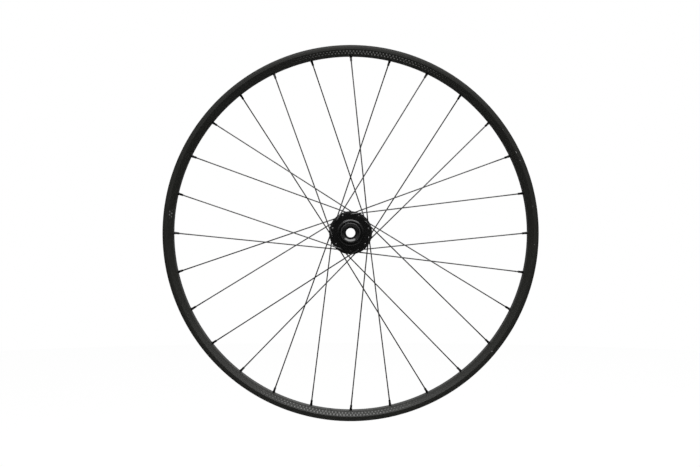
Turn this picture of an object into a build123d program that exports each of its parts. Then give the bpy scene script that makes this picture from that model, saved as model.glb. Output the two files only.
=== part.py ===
from build123d import *
import math
import os

# Front bicycle wheel with 28 crossed spokes on a through-axle disc-brake hub.
# Millimetres. The origin is the middle of the hub. +Y runs along the axle to the left, rotor side,
# +Z is up and +X points forward. Angles round the wheel start at the top and grow towards +X.

# Rim
BEAD_SEAT_DIAMETER = 584.0
BEAD_WALL_HEIGHT = 6.0
RIM_INNER_WIDTH = 29.0
RIM_OUTER_WIDTH = 34.4
WALL_TIP_THICKNESS = 1.6
RIM_DEPTH = 15.5
CREASE_DEPTH = 7.2
SPOKE_BED_WIDTH = 18.0
SPOKE_BED_WALL = 1.6
SLOPE_WALL = 1.1
TYRE_BED_WALL = 1.0
BEAD_SHELF_SLOPE = 5.0
CHANNEL_WIDTH = 12.0
CHANNEL_DEPTH = 2.8
CHANNEL_FLARE = 1.5
BED_ROUND = 3.0
CREASE_ROUND = 0.8
TIP_ROUND = 0.7
CHANNEL_ROUND = 0.8
VALVE_HOLE_DIAMETER = 6.5
VALVE_HOLE_ANGLE = 186.43
ACCESS_HOLE_DIAMETER = 8.0
DRILL_OVERRUN = 5.0

# Lacing
SPOKE_COUNT = 28
CROSSES = 3
RIM_HOLE_STAGGER = 1.5
CROSSING_GAP = 0.2
CROSSING_BEND_RADIUS = 40.0

# Spokes
SPOKE_DIAMETER = 2.0
BUTTED_DIAMETER = 1.8
BUTT_LENGTH = 12.0
BUTT_TAPER = 10.0
ELBOW_RADIUS = 2.6
ELBOW_STANDOFF = 0.4
HEAD_DIAMETER = 3.6
HEAD_HEIGHT = 1.2
HEAD_RIM = 0.4

# Nipples
NIPPLE_LENGTH = 12.0
NIPPLE_DIAMETER = 4.0
NIPPLE_FLATS = 3.3
NIPPLE_FLATS_LENGTH = 5.6
NIPPLE_HEAD_DIAMETER = 6.0
NIPPLE_HEAD_HEIGHT = 1.6
NIPPLE_TIP_BREAK = 0.15
NIPPLE_SEAT_CONE = 0.6
NIPPLE_HEAD_CONE = 0.6
NIPPLE_SLOT_WIDTH = 1.0
NIPPLE_SLOT_DEPTH = 0.8
NIPPLE_SEAT_LIFT = 0.2
NIPPLE_HOLE_CLEARANCE = 0.35
THREAD_CLEARANCE = 0.05

# Hub shell
OVER_LOCKNUT_WIDTH = 110.0
FLANGE_DIAMETER = 67.7
FLANGE_HOLE_MARGIN = 4.85
FLANGE_THICKNESS = 3.2
RIGHT_FLANGE_OFFSET = 33.5
LEFT_FLANGE_OFFSET = 26.5
SPOKE_HOLE_CLEARANCE = 0.25
SPOKE_HOLE_CHAMFER = 0.4
SPOKE_FLANGE_CLEARANCE = 0.35
FLANGE_EDGE_ROUND = 0.6
BARREL_END_DIAMETER = 35.6
BARREL_WAIST_DIAMETER = 33.6
BARREL_ROUND = 7.0
WAIST_ROUND = 100.0
RIGHT_BOSS_DIAMETER = 41.0
RIGHT_BOSS_ROUND = 2.2
RECESS_DIAMETER = 35.0
RECESS_DEPTH = 2.0
RIGHT_ROOT_ROUND = 0.6
ROOT_ROUND = 1.5

# Rotor mount: six M5 holes round a centring spigot
ROTOR_SETBACK = 10.5
ROTOR_HOLE_CIRCLE = 44.0
ROTOR_HOLE_COUNT = 6
ROTOR_HOLE_DIAMETER = 4.2
ROTOR_HOLE_DEPTH = 9.0
ROTOR_HOLE_CHAMFER = 0.5
ROTOR_HOLE_TIP_DIAMETER = 0.2
ROTOR_LOBE_DIAMETER = 8.8
ROTOR_LOBE_LENGTH = 11.5
ROTOR_BOSS_DIAMETER = 41.0
ROTOR_NECK_DIAMETER = 40.0
ROTOR_LOBE_ROUND = 3.5
SPIGOT_DIAMETER = 34.9
SPIGOT_LENGTH = 2.0
EDGE_BREAK = 0.3

# Axle tube and end caps
AXLE_BORE_DIAMETER = 15.1
AXLE_SHOULDER_DIAMETER = 22.4
AXLE_STUB_LENGTH = 5.5
CAP_LENGTH = 11.0
CAP_FIT = 0.02
CAP_NOSE_DIAMETER = 22.8
CAP_LIP_DIAMETER = 31.6
CAP_LIP_THICKNESS = 1.4
CAP_LIP_GAP = 0.5
CAP_NECK_DIAMETER = 25.2
CAP_DISC_DIAMETER = 30.0
CAP_DISC_THICKNESS = 4.0
CAP_EDGE_ROUND = 1.0
DISH_DIAMETER = 26.8
DISH_FLOOR_DIAMETER = 20.8
DISH_DEPTH = 2.4
O_RING_GROOVE_DIAMETER = 18.4
O_RING_GROOVE_WIDTH = 1.2
O_RING_SETBACK = 2.5
O_RING_CLEARANCE = 0.02

# Cartridge bearings
BEARING_BORE = 20.0
BEARING_OUTSIDE = 32.0
BEARING_WIDTH = 7.0
BEARING_SEAT_CLEARANCE = 0.02
BALL_DIAMETER = 3.5
BALL_COUNT = 13
BALL_CLEARANCE = 0.05
RACE_LAND_OFFSET = 1.22
RACE_EDGE_ROUND = 0.3
SEAL_THICKNESS = 0.9
SEAL_SETBACK = 0.15
SEAL_LIP_GAP = 0.12
CAGE_THICKNESS = 1.2
CAGE_WIDTH = 4.5

# Worked-out places
SEAT_R = BEAD_SEAT_DIAMETER / 2
TIP_R = SEAT_R + BEAD_WALL_HEIGHT
CREASE_R = TIP_R - CREASE_DEPTH
BED_R = TIP_R - RIM_DEPTH
FLOOR_R = BED_R + SPOKE_BED_WALL
CHANNEL_R = SEAT_R - CHANNEL_DEPTH
RIM_PITCH = 360.0 / SPOKE_COUNT
FLANGE_PITCH = 2 * RIM_PITCH
KINDS = 4
SPOKES_A_KIND = SPOKE_COUNT // KINDS
FLANGE_HOLE_CIRCLE = FLANGE_DIAMETER - 2 * FLANGE_HOLE_MARGIN
HOLE_R = FLANGE_HOLE_CIRCLE / 2
FLANGE_R = FLANGE_DIAMETER / 2
SPOKE_R = SPOKE_DIAMETER / 2
BUTTED_R = BUTTED_DIAMETER / 2
NIPPLE_TIP = NIPPLE_LENGTH - NIPPLE_HEAD_HEIGHT - NIPPLE_SEAT_LIFT
NIPPLE_TOP = NIPPLE_SEAT_LIFT + NIPPLE_HEAD_HEIGHT
END_FACE = OVER_LOCKNUT_WIDTH / 2
BEARING_FACE = END_FACE - CAP_LENGTH
BEARING_SHOULDER = BEARING_FACE - BEARING_WIDTH
BEARING_SEAT_R = BEARING_OUTSIDE / 2 + BEARING_SEAT_CLEARANCE
AXLE_SEAT_R = BEARING_BORE / 2 - BEARING_SEAT_CLEARANCE
AXLE_END = BEARING_FACE + AXLE_STUB_LENGTH
RIGHT_SHELL_END = BEARING_FACE + RECESS_DEPTH
ROTOR_FACE = END_FACE - ROTOR_SETBACK
SPIGOT_END = ROTOR_FACE + SPIGOT_LENGTH
PITCH_R = (BEARING_BORE + BEARING_OUTSIDE) / 4
GROOVE_R = BALL_DIAMETER / 2 + BALL_CLEARANCE
INNER_LAND_R = PITCH_R - RACE_LAND_OFFSET
OUTER_LAND_R = PITCH_R + RACE_LAND_OFFSET

UP = Vector(0, 0, 1)
AXLE_WAY = Vector(0, 1, 0)


def around(radius, angle, y=0.0):
    """A point at a radius and an angle round the wheel, at a place along the axle."""
    turn = math.radians(angle)
    return Vector(radius * math.sin(turn), y, radius * math.cos(turn))


def turned(points, radii):
    """A ring turned about the axle from a closed outline of (radius, place along the axle)."""
    outline = FilletPolyline(*points, radius=radii, close=True)
    return revolve(make_face(outline), axis=Axis.Y)


def rod(start, way, stations):
    """A round bar from start along way, through (distance, radius) stations."""
    first, last = stations[0][0], stations[-1][0]
    edge = [(radius, distance) for distance, radius in stations]
    outline = Polyline((0, first), *edge, (0, last), close=True)
    bar = revolve(make_face(Plane.XZ * outline), axis=Axis.Z)
    return Plane(origin=start, z_dir=way) * bar


def bent_bar(start, way, side, bend_radius, angle, radius):
    """A round bar bent by an angle in degrees, from start along way, towards side."""
    section = Plane(origin=start, z_dir=way) * Circle(radius)
    hinge = Axis(start + side * bend_radius, way.cross(side))
    return revolve(section, axis=hinge, revolution_arc=angle)


class Lacing:
    """The line of the first spoke of one of the four kinds, from its flange hole to its rim hole.

    Kinds 0 and 2 hang on the right flange, 1 and 3 on the left. Kinds 1 and 2 have their elbows outside
    the flange and lean one way; 0 and 3 have their heads outside and lean the other way. At the last
    crossing the outside spoke passes under the inside one, so both are bent a little there.
    """

    def __init__(self, kind):
        self.side = -1 if kind % 2 == 0 else 1
        self.outside = kind in (1, 2)
        lean = -1 if self.outside else 1
        offset = RIGHT_FLANGE_OFFSET if self.side < 0 else LEFT_FLANGE_OFFSET
        flange_y = self.side * offset
        self.rim_angle = kind * RIM_PITCH
        self.hub_angle = self.rim_angle + lean * CROSSES * FLANGE_PITCH
        exit_sign = self.side if self.outside else -self.side
        self.exit_way = AXLE_WAY * exit_sign
        self.hole = around(HOLE_R, self.hub_angle, flange_y)
        self.seat = around(FLOOR_R, self.rim_angle, self.side * RIM_HOLE_STAGGER)

        # Last crossing: where the straight line meets the ray halfway between the two crossing holes
        ray = around(1.0, self.hub_angle - lean * (CROSSES - 0.5) * FLANGE_PITCH)
        span = self.seat - self.hole
        share = -ray.cross(self.hole).Y / ray.cross(span).Y
        half_gap = (BUTTED_DIAMETER + CROSSING_GAP) / 2
        middle = self.hole + span * share
        self.crossing = middle - self.exit_way * half_gap

        # Elbow: an arc from the hole's axis to the line that runs to the crossing
        self.head_seat = self.hole - self.exit_way * (FLANGE_THICKNESS / 2)
        self.elbow = self.hole + self.exit_way * (FLANGE_THICKNESS / 2 + ELBOW_STANDOFF)
        reach = self.crossing - self.elbow
        rise = reach.dot(self.exit_way)
        self.out_way = (reach - self.exit_way * rise).normalized()
        run = reach.dot(self.out_way) - ELBOW_RADIUS
        turn = math.atan2(run, rise) + math.asin(ELBOW_RADIUS / math.hypot(run, rise))
        self.elbow_turn = math.degrees(turn)
        self.way = self.exit_way * math.cos(turn) + self.out_way * math.sin(turn)
        centre = self.elbow + self.out_way * ELBOW_RADIUS
        self.elbow_end = (
            centre + (self.exit_way * math.sin(turn) - self.out_way * math.cos(turn)) * ELBOW_RADIUS
        )

        # Bend at the crossing
        self.last_way = (self.seat - self.crossing).normalized()
        self.bend_turn = self.way.get_angle(self.last_way)
        tangent = CROSSING_BEND_RADIUS * math.tan(math.radians(self.bend_turn) / 2)
        self.bend_start = self.crossing - self.way * tangent
        self.bend_end = self.crossing + self.last_way * tangent
        across = self.last_way - self.way * self.way.dot(self.last_way)
        self.bend_side = across.normalized()

    def flange_drop(self):
        """How far the flange's edge has to fall away for the outside spoke to pass over it."""
        along = self.hole.dot(self.out_way)
        run = math.sqrt(along**2 + FLANGE_R**2 - HOLE_R**2) - along
        from_elbow = self.elbow_end - self.hole
        start_run = from_elbow.dot(self.out_way)
        start_height = from_elbow.dot(self.exit_way) - FLANGE_THICKNESS / 2 - SPOKE_R
        fall = -self.way.dot(self.exit_way) / self.way.dot(self.out_way)
        return (run - start_run) * fall - start_height + SPOKE_FLANGE_CLEARANCE


LACINGS = [Lacing(kind) for kind in range(KINDS)]


def every_turn(shape):
    """The copies of one kind's shape round the wheel."""
    step = 360.0 / SPOKES_A_KIND
    return [Rotation(0, index * step, 0) * shape for index in range(SPOKES_A_KIND)]


# Spokes: a domed head, an elbow and a butted wire that is thinner along its middle

def make_spoke(lacing):
    head_r = HEAD_DIAMETER / 2
    rise = HEAD_HEIGHT - HEAD_RIM
    dome_r = (head_r**2 + rise**2) / (2 * rise)
    halfway = math.asin(head_r / dome_r) / 2
    dome = Polyline((0, -HEAD_HEIGHT), (0, 0), (head_r, 0), (head_r, -HEAD_RIM))
    dome += ThreePointArc(
        (head_r, -HEAD_RIM),
        (dome_r * math.sin(halfway), dome_r * (1 - math.cos(halfway)) - HEAD_HEIGHT),
        (0, -HEAD_HEIGHT),
    )
    head = revolve(make_face(Plane.XZ * dome), axis=Axis.Z)
    head = Plane(origin=lacing.head_seat, z_dir=lacing.exit_way) * head
    neck_length = FLANGE_THICKNESS + ELBOW_STANDOFF
    neck = rod(lacing.head_seat, lacing.exit_way, [(0, SPOKE_R), (neck_length, SPOKE_R)])
    elbow = bent_bar(
        lacing.elbow, lacing.exit_way, lacing.out_way, ELBOW_RADIUS, lacing.elbow_turn, SPOKE_R
    )
    inner_length = (lacing.bend_start - lacing.elbow_end).length
    inner = rod(
        lacing.elbow_end,
        lacing.way,
        [
            (0, SPOKE_R),
            (BUTT_LENGTH, SPOKE_R),
            (BUTT_LENGTH + BUTT_TAPER, BUTTED_R),
            (inner_length, BUTTED_R),
        ],
    )
    bend = bent_bar(
        lacing.bend_start,
        lacing.way,
        lacing.bend_side,
        CROSSING_BEND_RADIUS,
        lacing.bend_turn,
        BUTTED_R,
    )
    tip = NIPPLE_TOP - NIPPLE_SLOT_DEPTH - NIPPLE_SEAT_LIFT
    outer_length = (lacing.seat - lacing.bend_end).length + tip
    thread = NIPPLE_LENGTH + BUTT_LENGTH
    outer = rod(
        lacing.bend_end,
        lacing.last_way,
        [
            (0, BUTTED_R),
            (outer_length - thread - BUTT_TAPER, BUTTED_R),
            (outer_length - thread, SPOKE_R),
            (outer_length, SPOKE_R),
        ],
    )
    return head + neck + elbow + inner + bend + outer


# Nipples: square flats for the key, a round shank in the rim and a slotted head inside it

def make_nipple():
    shank_r = NIPPLE_DIAMETER / 2
    head_r = NIPPLE_HEAD_DIAMETER / 2
    tip_r = NIPPLE_FLATS / 2 - NIPPLE_TIP_BREAK
    upright = (Align.CENTER, Align.CENTER, Align.MIN)
    flats = Box(NIPPLE_FLATS, NIPPLE_FLATS, NIPPLE_FLATS_LENGTH, align=upright)
    flats = Pos(0, 0, -NIPPLE_TIP) * flats
    key_end = rod(
        Vector(0, 0, -NIPPLE_TIP),
        UP,
        [(0, tip_r), (2 * NIPPLE_TIP_BREAK, shank_r), (NIPPLE_FLATS_LENGTH, shank_r)],
    )
    shank = rod(
        Vector(0, 0, 0),
        UP,
        [
            (NIPPLE_FLATS_LENGTH - NIPPLE_TIP, shank_r),
            (NIPPLE_SEAT_LIFT, shank_r),
            (NIPPLE_SEAT_LIFT + NIPPLE_SEAT_CONE, head_r),
            (NIPPLE_TOP - NIPPLE_HEAD_CONE, head_r),
            (NIPPLE_TOP, shank_r),
        ],
    )
    body = (flats & key_end) + shank
    bore_r = SPOKE_R + THREAD_CLEARANCE
    bore = rod(Vector(0, 0, -NIPPLE_LENGTH), UP, [(0, bore_r), (2 * NIPPLE_LENGTH, bore_r)])
    slot = Pos(0, 0, NIPPLE_TOP) * Box(NIPPLE_HEAD_DIAMETER, NIPPLE_SLOT_WIDTH, 2 * NIPPLE_SLOT_DEPTH)
    return body - bore - slot


# Rim: a double-walled hoop with a spoke bed, a tyre bed with a drop channel, and upright bead walls

def make_rim():
    half_bed = SPOKE_BED_WIDTH / 2
    half_out = RIM_OUTER_WIDTH / 2
    half_in = RIM_INNER_WIDTH / 2
    half_tip = half_in + WALL_TIP_THICKNESS
    half_channel = CHANNEL_WIDTH / 2
    half_shelf = half_channel + CHANNEL_FLARE
    shelf_r = SEAT_R - (half_in - half_shelf) * math.tan(math.radians(BEAD_SHELF_SLOPE))
    corners = [
        (BED_R, half_bed, BED_ROUND),
        (CREASE_R, half_out, CREASE_ROUND),
        (TIP_R, half_tip, TIP_ROUND),
        (TIP_R, half_in, TIP_ROUND),
        (SEAT_R, half_in, TIP_ROUND),
        (shelf_r, half_shelf, CHANNEL_ROUND),
        (CHANNEL_R, half_channel, CHANNEL_ROUND),
    ]
    hoop = turned(*both_halves(corners))

    # Hollow between the two beds, with its own wall thickness on each side
    slope_r = CREASE_R - BED_R
    slope_y = half_out - half_bed
    slope = math.hypot(slope_r, slope_y)
    inside_y = half_bed - SLOPE_WALL * slope_r / slope
    inside_r = BED_R + SLOPE_WALL * slope_y / slope

    def slope_inside(radius):
        return inside_y + (radius - inside_r) * slope_y / slope_r

    roof_r = shelf_r - TYRE_BED_WALL
    flare = math.atan2(shelf_r - CHANNEL_R, CHANNEL_FLARE)
    step = TYRE_BED_WALL * math.tan(flare / 2)
    hollow_corners = [
        (FLOOR_R, slope_inside(FLOOR_R), CHANNEL_ROUND),
        (roof_r, slope_inside(roof_r), CHANNEL_ROUND / 2),
        (roof_r, half_shelf + step, CHANNEL_ROUND / 2),
        (CHANNEL_R - TYRE_BED_WALL, half_channel + step, CHANNEL_ROUND / 2),
    ]
    hoop -= turned(*both_halves(hollow_corners))

    drill_r = NIPPLE_DIAMETER / 2 + NIPPLE_HOLE_CLEARANCE
    access_r = ACCESS_HOLE_DIAMETER / 2
    half_hollow = (CHANNEL_R - TYRE_BED_WALL - FLOOR_R) / 2
    holes = []
    for lacing in LACINGS:
        drill = rod(
            lacing.seat, lacing.last_way, [(-DRILL_OVERRUN, drill_r), (half_hollow, drill_r)]
        )
        access = rod(
            lacing.seat, lacing.last_way, [(half_hollow, access_r), (RIM_DEPTH, access_r)]
        )
        holes += every_turn(drill) + every_turn(access)
    valve_r = VALVE_HOLE_DIAMETER / 2
    valve_way = around(1.0, VALVE_HOLE_ANGLE)
    holes.append(rod(valve_way * BED_R, valve_way, [(-RIM_DEPTH, valve_r), (RIM_DEPTH, valve_r)]))
    return hoop - holes


def both_halves(corners):
    """Points and roundings of an outline from the corners of its left half, mirrored to the right."""
    left = [(r, y) for r, y, _ in corners]
    right = [(r, -y) for r, y, _ in reversed(corners)]
    roundings = [rounding for _, _, rounding in corners]
    return left + right, roundings + roundings[::-1]


# Hub shell: barrel, two drilled flanges, bearing seats and the rotor mount

def make_hub_shell():
    right_out = -RIGHT_FLANGE_OFFSET - FLANGE_THICKNESS / 2
    right_in = -RIGHT_FLANGE_OFFSET + FLANGE_THICKNESS / 2
    left_in = LEFT_FLANGE_OFFSET - FLANGE_THICKNESS / 2
    left_out = LEFT_FLANGE_OFFSET + FLANGE_THICKNESS / 2
    land_r = HOLE_R + HEAD_DIAMETER / 2 + EDGE_BREAK
    right_drop = max(LACINGS[2].flange_drop(), FLANGE_EDGE_ROUND)
    left_drop = max(LACINGS[1].flange_drop(), FLANGE_EDGE_ROUND)
    boss_r = RIGHT_BOSS_DIAMETER / 2
    recess_r = RECESS_DIAMETER / 2
    barrel_r = BARREL_END_DIAMETER / 2
    rotor_r = ROTOR_BOSS_DIAMETER / 2
    neck_r = ROTOR_NECK_DIAMETER / 2
    spigot_r = SPIGOT_DIAMETER / 2
    shoulder_r = OUTER_LAND_R + RACE_EDGE_ROUND
    corners = [
        (BEARING_SEAT_R, -BEARING_FACE, 0),
        (recess_r, -BEARING_FACE, EDGE_BREAK),
        (recess_r, -RIGHT_SHELL_END, EDGE_BREAK),
        (boss_r, -RIGHT_SHELL_END, RIGHT_BOSS_ROUND),
        (boss_r, right_out, RIGHT_ROOT_ROUND),
        (land_r, right_out, FLANGE_EDGE_ROUND),
        (FLANGE_R, right_out + right_drop, FLANGE_EDGE_ROUND),
        (FLANGE_R, right_in, FLANGE_EDGE_ROUND),
        (barrel_r, right_in, BARREL_ROUND),
        (BARREL_WAIST_DIAMETER / 2, (right_in + left_in) / 2, WAIST_ROUND),
        (barrel_r, left_in, BARREL_ROUND),
        (FLANGE_R, left_in, FLANGE_EDGE_ROUND),
        (FLANGE_R, left_out - left_drop, FLANGE_EDGE_ROUND),
        (land_r, left_out, FLANGE_EDGE_ROUND),
        (neck_r, left_out, ROOT_ROUND),
        (neck_r, ROTOR_FACE, 0),
        (spigot_r, ROTOR_FACE, EDGE_BREAK),
        (spigot_r, SPIGOT_END, EDGE_BREAK),
        (BEARING_SEAT_R, SPIGOT_END, EDGE_BREAK),
        (BEARING_SEAT_R, BEARING_SHOULDER, 0),
        (shoulder_r, BEARING_SHOULDER, 0),
        (shoulder_r, -BEARING_SHOULDER, 0),
        (BEARING_SEAT_R, -BEARING_SHOULDER, 0),
    ]
    shell = turned([(r, y) for r, y, _ in corners], [rounding for _, _, rounding in corners])

    lobe_start = ROTOR_FACE - ROTOR_LOBE_LENGTH
    rotor_plane = Plane(origin=(0, lobe_start, 0), x_dir=(1, 0, 0), z_dir=AXLE_WAY)
    star = Circle(rotor_r)
    star += PolarLocations(ROTOR_HOLE_CIRCLE / 2, ROTOR_HOLE_COUNT) * Circle(ROTOR_LOBE_DIAMETER / 2)
    star = fillet(star.vertices(), ROTOR_LOBE_ROUND)
    star -= Circle(spigot_r)
    shell += extrude(rotor_plane * star, ROTOR_LOBE_LENGTH)

    hole_r = SPOKE_R + SPOKE_HOLE_CLEARANCE
    half = FLANGE_THICKNESS / 2
    chamfer = SPOKE_HOLE_CHAMFER
    holes = []
    for lacing in LACINGS:
        drill = rod(
            lacing.hole,
            lacing.exit_way,
            [
                (-half - chamfer, hole_r + 2 * chamfer),
                (-half + chamfer, hole_r),
                (half - chamfer, hole_r),
                (half + chamfer, hole_r + 2 * chamfer),
            ],
        )
        holes += every_turn(drill)
    bolt_r = ROTOR_HOLE_DIAMETER / 2
    for index in range(ROTOR_HOLE_COUNT):
        place = around(ROTOR_HOLE_CIRCLE / 2, 90 + index * 360 / ROTOR_HOLE_COUNT, ROTOR_FACE)
        holes.append(
            rod(
                place,
                -AXLE_WAY,
                [
                    (-ROTOR_HOLE_CHAMFER, bolt_r + 2 * ROTOR_HOLE_CHAMFER),
                    (ROTOR_HOLE_CHAMFER, bolt_r),
                    (ROTOR_HOLE_DEPTH, bolt_r),
                    (ROTOR_HOLE_DEPTH + bolt_r / 2, ROTOR_HOLE_TIP_DIAMETER / 2),
                ],
            )
        )
    return shell - holes


# Axle tube: a shoulder between the bearings and a stub with a ring groove at each end

def make_axle_tube():
    bore_r = AXLE_BORE_DIAMETER / 2
    groove_r = O_RING_GROOVE_DIAMETER / 2
    groove_in = BEARING_FACE + O_RING_SETBACK
    groove_out = groove_in + O_RING_GROOVE_WIDTH
    corners = [
        (AXLE_SHOULDER_DIAMETER / 2, BEARING_SHOULDER, 0),
        (AXLE_SEAT_R, BEARING_SHOULDER, 0),
        (AXLE_SEAT_R, groove_in, 0),
        (groove_r, groove_in, 0),
        (groove_r, groove_out, 0),
        (AXLE_SEAT_R, groove_out, 0),
        (AXLE_SEAT_R, AXLE_END, EDGE_BREAK),
        (bore_r, AXLE_END, 0),
    ]
    return turned(*both_halves(corners))


# End cap: a push-on turned cap with a dust lip, a neck and a dished face

def make_end_cap(shell_end):
    bore_r = AXLE_BORE_DIAMETER / 2
    socket_r = AXLE_SEAT_R + CAP_FIT
    nose_r = CAP_NOSE_DIAMETER / 2
    lip_r = CAP_LIP_DIAMETER / 2
    neck_r = CAP_NECK_DIAMETER / 2
    disc_r = CAP_DISC_DIAMETER / 2
    lip_in = shell_end + CAP_LIP_GAP
    lip_out = lip_in + CAP_LIP_THICKNESS
    disc_in = END_FACE - CAP_DISC_THICKNESS
    dish_floor = END_FACE - DISH_DEPTH
    corners = [
        (socket_r, BEARING_FACE, 0),
        (nose_r, BEARING_FACE, 0),
        (nose_r, lip_in, 0),
        (lip_r, lip_in, EDGE_BREAK),
        (lip_r, lip_out, EDGE_BREAK),
        (neck_r, lip_out, EDGE_BREAK),
        (neck_r, disc_in, EDGE_BREAK),
        (disc_r, disc_in, EDGE_BREAK),
        (disc_r, END_FACE, CAP_EDGE_ROUND),
        (DISH_DIAMETER / 2, END_FACE, EDGE_BREAK),
        (DISH_FLOOR_DIAMETER / 2, dish_floor, EDGE_BREAK),
        (bore_r, dish_floor, EDGE_BREAK),
        (bore_r, AXLE_END + CAP_FIT, 0),
        (socket_r, AXLE_END + CAP_FIT, 0),
    ]
    return turned([(r, y) for r, y, _ in corners], [rounding for _, _, rounding in corners])


def make_o_ring():
    inside_r = O_RING_GROOVE_DIAMETER / 2
    section_r = (AXLE_SEAT_R + CAP_FIT - inside_r) / 2 - O_RING_CLEARANCE
    middle_r = inside_r + O_RING_CLEARANCE + section_r
    middle_y = BEARING_FACE + O_RING_SETBACK + O_RING_GROOVE_WIDTH / 2
    return revolve(Pos(middle_r, middle_y) * Circle(section_r), axis=Axis.Y)


# Cartridge bearing: two grooved races, a ring of balls in a cage, and a rubber seal on each face

def make_bearing():
    middle = BEARING_FACE - BEARING_WIDTH / 2
    half = BEARING_WIDTH / 2

    def ring(inside_r, outside_r, low, high, roundings):
        points = [(inside_r, low), (outside_r, low), (outside_r, high), (inside_r, high)]
        return Pos(0, middle, 0) * turned(points, roundings)

    groove = Pos(0, middle, 0) * revolve(Pos(PITCH_R, 0) * Circle(GROOVE_R), axis=Axis.Y)
    edge = RACE_EDGE_ROUND
    outer = ring(OUTER_LAND_R, BEARING_OUTSIDE / 2, -half, half, [0, edge, edge, 0]) - groove
    inner = ring(BEARING_BORE / 2, INNER_LAND_R, -half, half, [edge, 0, 0, edge]) - groove
    seal_in = half - SEAL_SETBACK - SEAL_THICKNESS
    seal_out = half - SEAL_SETBACK
    lip_r = INNER_LAND_R + SEAL_LIP_GAP
    rest_r = OUTER_LAND_R - BEARING_SEAT_CLEARANCE
    outboard_seal = ring(lip_r, rest_r, seal_in, seal_out, [0, 0, 0, 0])
    inboard_seal = ring(lip_r, rest_r, -seal_out, -seal_in, [0, 0, 0, 0])
    half_cage = CAGE_THICKNESS / 2
    cage = ring(PITCH_R - half_cage, PITCH_R + half_cage, -CAGE_WIDTH / 2, CAGE_WIDTH / 2, [0, 0, 0, 0])
    balls = []
    pockets = []
    for index in range(BALL_COUNT):
        angle = index * 360 / BALL_COUNT
        place = around(PITCH_R, angle, middle)
        balls.append(Pos(place) * Sphere(BALL_DIAMETER / 2))
        pockets.append(
            rod(place, around(1.0, angle), [(-CAGE_THICKNESS, GROOVE_R), (CAGE_THICKNESS, GROOVE_R)])
        )
    return {
        "outer_race": outer,
        "inner_race": inner,
        "outboard_seal": outboard_seal,
        "inboard_seal": inboard_seal,
        "cage": cage - pockets,
        "balls": Compound(balls),
    }


nodes = {"rim": make_rim(), "hub_shell": make_hub_shell(), "axle_tube": make_axle_tube()}

nipple = make_nipple()
nipples = []
for lacing_kind, lacing in enumerate(LACINGS):
    seated = Plane(origin=lacing.seat, z_dir=lacing.last_way) * nipple
    nipples += every_turn(seated)
    for index, spoke in enumerate(every_turn(make_spoke(lacing))):
        number = lacing_kind + KINDS * index + 1
        nodes[f"spoke_{number:02d}"] = spoke
nodes["nipples"] = Compound(nipples)

bearing = make_bearing()
o_ring = make_o_ring()
nodes["left_end_cap"] = make_end_cap(SPIGOT_END)
nodes["right_end_cap"] = mirror(make_end_cap(RIGHT_SHELL_END), about=Plane.XZ)
nodes["left_cap_o_ring"] = o_ring
nodes["right_cap_o_ring"] = mirror(o_ring, about=Plane.XZ)
for piece_name, piece in bearing.items():
    nodes[f"left_bearing_{piece_name}"] = piece
    nodes[f"right_bearing_{piece_name}"] = mirror(piece, about=Plane.XZ)

os.makedirs("parts", exist_ok=True)
for node_name, solid in nodes.items():
    export_step(solid, f"parts/{node_name}.step")
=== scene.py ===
import math

import bmesh
import bpy
from mathutils import Matrix, Vector


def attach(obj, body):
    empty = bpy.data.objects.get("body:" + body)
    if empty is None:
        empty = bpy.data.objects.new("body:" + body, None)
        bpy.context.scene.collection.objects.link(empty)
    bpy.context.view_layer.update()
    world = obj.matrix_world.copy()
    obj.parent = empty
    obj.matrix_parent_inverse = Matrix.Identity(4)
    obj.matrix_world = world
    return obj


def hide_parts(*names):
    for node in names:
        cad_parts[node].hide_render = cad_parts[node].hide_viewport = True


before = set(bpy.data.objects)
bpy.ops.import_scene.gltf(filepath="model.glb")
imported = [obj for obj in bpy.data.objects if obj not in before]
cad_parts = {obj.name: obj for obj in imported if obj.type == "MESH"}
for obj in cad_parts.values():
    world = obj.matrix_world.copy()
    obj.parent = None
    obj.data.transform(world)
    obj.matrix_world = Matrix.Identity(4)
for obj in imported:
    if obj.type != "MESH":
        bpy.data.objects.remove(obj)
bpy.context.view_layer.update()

# Axle tube
# A hollow aluminium tube, turned on a lathe and clear anodised, that both bearings slide onto.
# A shoulder keeps the bearings apart, and a groove near each end holds the end cap's rubber ring.
MM = 0.001
WELD = 0.0005
EDGE_BREAK = 0.3
CORNER_STEPS = 4
CREASE_ANGLE = 32
BEARING_SHOULDER = 37.0
AXLE_END = 49.5
AXLE_BORE_R = 7.55
AXLE_SHOULDER_R = 11.2
AXLE_SEAT_R = 9.98
RING_GROOVE_R = 9.2
RING_GROOVE_IN = 46.5
RING_GROOVE_OUT = 47.7
AXLE_STEPS = 96
AXLE_GREY = (0.46, 0.47, 0.49, 1.0)
AXLE_DARK_GREY = (0.36, 0.37, 0.39, 1.0)
TURNED_CLOUDS = 90.0
TURNED_SPECKS = 1400.0
TURNED_SPECK_FADE = (0.62, 0.78)
MARKS_DULL = 0.12
CLOUDS_DULL = 0.1
SPECKS_DULL = 0.08
SPECKS_RISE = 0.3
MARKS_BUMP = 0.1
MARKS_DEPTH = 0.03 * MM
EDGE_BLUR = 0.1


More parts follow.
